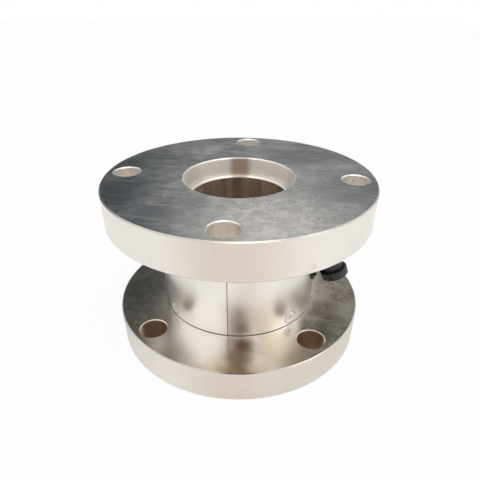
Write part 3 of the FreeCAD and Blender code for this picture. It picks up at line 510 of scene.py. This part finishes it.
def gauge_film():
    """Amber carrier film with a shear grid of foil lines at 45 degrees to the axis."""
    made, tree, sockets, coords = material("gauge_film")
    split = add(tree, "ShaderNodeSeparateXYZ", {0: coords}).outputs
    around = times(tree, math_node(tree, "ARCTAN2", split[1], split[0]), GAUGE_RADIUS)
    spacing = GAUGE_RADIUS * 2 * math.pi / GAUGE_COUNT
    nearest = times(tree, math_node(tree, "ROUND", math_node(tree, "DIVIDE", around, spacing)), spacing)
    side = magnitude(tree, math_node(tree, "SUBTRACT", around, nearest))
    up = math_node(tree, "SUBTRACT", split[2], MID_HEIGHT)
    lines = math_node(tree, "SINE", times(tree, math_node(tree, "SUBTRACT", up, side), GRID_PITCH))
    inside = times(tree, ramp(tree, side, 4.0 * MM, 3.8 * MM), ramp(tree, side, 0.4 * MM, 0.6 * MM))
    inside = times(tree, inside, ramp(tree, magnitude(tree, up), 3.6 * MM, 3.4 * MM))
    foil = times(tree, ramp(tree, lines, -0.1, 0.2), inside)
    clouds = use(tree, CLOUDS, Vector=coords, Scale=400.0, Low=0.4, High=0.6)["Mask"]
    film = blend(tree, clouds, rgb(0.42, 0.17, 0.03), rgb(0.50, 0.22, 0.045))
    link(tree, blend(tree, foil, film, rgb(0.62, 0.56, 0.50)), sockets["Base Color"])
    link(tree, foil, sockets["Metallic"])
    link(tree, ramp(tree, clouds, 0.0, 1.0, 0.22, 0.32), sockets["Roughness"])
    bump(tree, sockets, foil, 0.3, 0.03 * MM)
    return made


def banded_resistor():
    """Lacquered bodies with bright end caps, told apart by their distance from the torque axis."""
    made, tree, sockets, coords = material("banded_resistors")
    radius = use(tree, LATHE, Vector=coords, Scale=900.0)["Radius"]
    along = magnitude(tree, math_node(tree, "SUBTRACT", radius, BOARD_MIDDLE))
    cap = ramp(tree, along, 1.08 * MM, 1.12 * MM)
    band = times(tree, ramp(tree, along, 0.42 * MM, 0.46 * MM), ramp(tree, along, 0.74 * MM, 0.70 * MM))
    body = blend(tree, band, rgb(0.06, 0.17, 0.34), rgb(0.45, 0.12, 0.03))
    clouds = use(tree, CLOUDS, Vector=coords, Scale=900.0, Low=0.4, High=0.6)["Mask"]
    body = tint(tree, body, clouds, 0.20, (0.03, 0.10, 0.22))
    link(tree, blend(tree, cap, body, rgb(0.74, 0.73, 0.70)), sockets["Base Color"])
    link(tree, cap, sockets["Metallic"])
    link(tree, ramp(tree, clouds, 0.0, 1.0, 0.25, 0.38), sockets["Roughness"])
    bump(tree, sockets, clouds, 0.1, 0.03 * MM)
    return made


def paint(made, *names):
    for name in names:
        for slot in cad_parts[name].material_slots:
            slot.material = made


RUBBER = moulded("black_rubber", rgb(0.012, 0.012, 0.013), rgb(0.026, 0.026, 0.027), 0.55, 0.72)
NYLON = moulded("black_nylon", rgb(0.010, 0.010, 0.011), rgb(0.022, 0.023, 0.025), 0.26, 0.38)
PLASTIC_WIRE = moulded("grey_wire", rgb(0.30, 0.30, 0.30), rgb(0.40, 0.40, 0.40), 0.40, 0.52)
PLATED = plated_brass()
SCREWS = screw_steel()

paint(spring_steel(), "spring_body")
paint(cover_sheet(), "cover_shell_left", "cover_shell_right")
paint(SCREWS, "cover_screws", "board_screws")
paint(RUBBER, "lower_cover_seal", "upper_cover_seal", "outlet_gasket", "outlet_cable_seal")
paint(NYLON, "outlet_base", "outlet_elbow", "outlet_collar")
paint(PLATED, "outlet_lock_nut", "board_standoffs")
paint(PLASTIC_WIRE, "bridge_harness", "outlet_lead")
paint(circuit_board(), "balance_board", *[f"gauge_terminal_{k}" for k in range(1, GAUGE_COUNT + 1)])
paint(gauge_film(), *[f"strain_gauge_{k}" for k in range(1, GAUGE_COUNT + 1)])
paint(banded_resistor(), "trim_resistors")


# Floor, studio and camera

def floor():
    """A plain pale floor, nearly shadowless to the camera, warm white in reflections."""
    mesh = bpy.data.meshes.new("floor")
    reach = 3.0
    corners = [(-reach, -reach, 0), (reach, -reach, 0), (reach, reach, 0), (-reach, reach, 0)]
    mesh.from_pydata(corners, [], [(0, 1, 2, 3)])
    placed = bpy.data.objects.new("floor", mesh)
    bpy.context.scene.collection.objects.link(placed)
    placed.location.z = -0.2 * MM
    made = bpy.data.materials.new("floor")
    made.use_nodes = True
    tree = made.node_tree
    tree.nodes.clear()
    coords = tree.nodes.new("ShaderNodeTexCoord").outputs["Object"]
    clouds = use(tree, CLOUDS, Vector=coords, Scale=6.0, Low=0.3, High=0.7)["Mask"]
    tint = blend(tree, clouds, rgb(0.88, 0.87, 0.855), rgb(0.91, 0.90, 0.885))
    lit = add(tree, "ShaderNodeBsdfDiffuse", {"Color": tint}).outputs[0]
    glow = add(tree, "ShaderNodeEmission", {"Color": rgb(1.0, 1.0, 1.0), "Strength": 1.0}).outputs[0]
    seen = add(tree, "ShaderNodeLightPath").outputs["Is Camera Ray"]
    mixed = add(tree, "ShaderNodeMixShader", {0: times(tree, seen, 0.93), 1: lit, 2: glow}).outputs[0]
    out = tree.nodes.new("ShaderNodeOutputMaterial")
    tree.links.new(mixed, out.inputs["Surface"])
    mesh.materials.append(made)


def studio():
    """Bright soft room, darker behind the object, darkest at the left, and white to the camera."""
    world = bpy.data.worlds.new("studio")
    bpy.context.scene.world = world
    world.use_nodes = True
    tree = world.node_tree
    tree.nodes.clear()
    look = tree.nodes.new("ShaderNodeTexCoord").outputs["Generated"]

    def cone(azimuth, elevation, outer, inner):
        """A soft round patch of the room between two half angles in degrees."""
        axis = direction(azimuth, elevation)
        along = add(tree, "ShaderNodeVectorMath", {0: look, 1: axis}, operation="DOT_PRODUCT")
        return ramp(tree, along.outputs["Value"], math.cos(math.radians(outer)), math.cos(math.radians(inner)))

    room = rgb(0.95, 0.94, 0.925)
    colour = blend(tree, cone(97, 12, 62, 34), room, rgb(0.22, 0.235, 0.245))
    colour = tint(tree, colour, cone(128, 10, 55, 8), 0.80, (0.055, 0.065, 0.075))
    colour = blend(tree, cone(90, 34, 19, 6), colour, rgb(0.74, 0.72, 0.69))
    seen = add(tree, "ShaderNodeLightPath").outputs["Is Camera Ray"]
    colour = blend(tree, seen, colour, rgb(1.0, 1.0, 1.0))
    lit = add(tree, "ShaderNodeBackground", {"Color": colour, "Strength": 1.0}).outputs[0]
    add(tree, "ShaderNodeOutputWorld", {"Surface": lit})


def softbox(name, azimuth, elevation, distance, width, power):
    """A round area light that looks at the origin."""
    lamp = bpy.data.lights.new(name, "AREA")
    lamp.shape = "DISK"
    lamp.size = width
    lamp.energy = power
    placed = bpy.data.objects.new(name, lamp)
    bpy.context.scene.collection.objects.link(placed)
    placed.location = Vector(direction(azimuth, elevation)) * distance
    placed.rotation_euler = placed.location.to_track_quat("Z", "Y").to_euler()


def photographer():
    """A dark upright card behind the camera, which the cover and the lower flange reflect."""
    forward = Vector(direction(CAMERA_TURN + 90.0, 0.0))
    side = Vector(direction(CAMERA_TURN, 0.0))
    centre = CAMERA_AT - forward * 30 * MM + Vector((0, 0, 10)) * MM
    half, low, high = 48 * MM, -30 * MM, 55 * MM
    spots = ((-half, low), (half, low), (half, high), (-half, high))
    corners = [centre + side * x + Vector((0, 0, z)) for x, z in spots]
    mesh = bpy.data.meshes.new("photographer_card")
    mesh.from_pydata([tuple(corner) for corner in corners], [], [(0, 1, 2, 3)])
    placed = bpy.data.objects.new("photographer_card", mesh)
    bpy.context.scene.collection.objects.link(placed)
    made = bpy.data.materials.new("photographer_card")
    made.use_nodes = True
    tree = made.node_tree
    sockets = next(item for item in tree.nodes if item.type == "BSDF_PRINCIPLED").inputs
    coords = tree.nodes.new("ShaderNodeTexCoord").outputs["Object"]
    clouds = use(tree, CLOUDS, Vector=coords, Scale=20.0, Low=0.3, High=0.7)["Mask"]
    link(tree, blend(tree, clouds, rgb(0.02, 0.009, 0.006), rgb(0.04, 0.02, 0.014)), sockets["Base Color"])
    sockets["Roughness"].default_value = 0.8
    mesh.materials.append(made)
    placed.visible_camera = False
    placed.visible_shadow = False


def camera():
    """The photo's own view, as solved from its ellipses."""
    lens = bpy.data.cameras.new("camera")
    lens.sensor_fit = "HORIZONTAL"
    lens.sensor_width = SENSOR_WIDTH
    lens.lens = FOCAL_PX / PICTURE_PX * lens.sensor_width
    lens.shift_x = (PICTURE_PX / 2 - PRINCIPAL_PX[0]) / PICTURE_PX
    lens.shift_y = (PRINCIPAL_PX[1] - PICTURE_PX / 2) / PICTURE_PX
    lens.clip_start = 0.01
    placed = bpy.data.objects.new("camera", lens)
    bpy.context.scene.collection.objects.link(placed)
    placed.location = CAMERA_AT
    placed.rotation_euler = (math.radians(90.0 - CAMERA_PITCH), 0.0, math.radians(CAMERA_TURN))
    bpy.context.scene.camera = placed


floor()
studio()
softbox("overhead_softbox", -60, 78, 0.9, 0.7, 1.7)
softbox("right_softbox", -20, 35, 1.1, 0.6, 0.5)
photographer()
camera()
bpy.context.scene.view_settings.view_transform = "Standard"
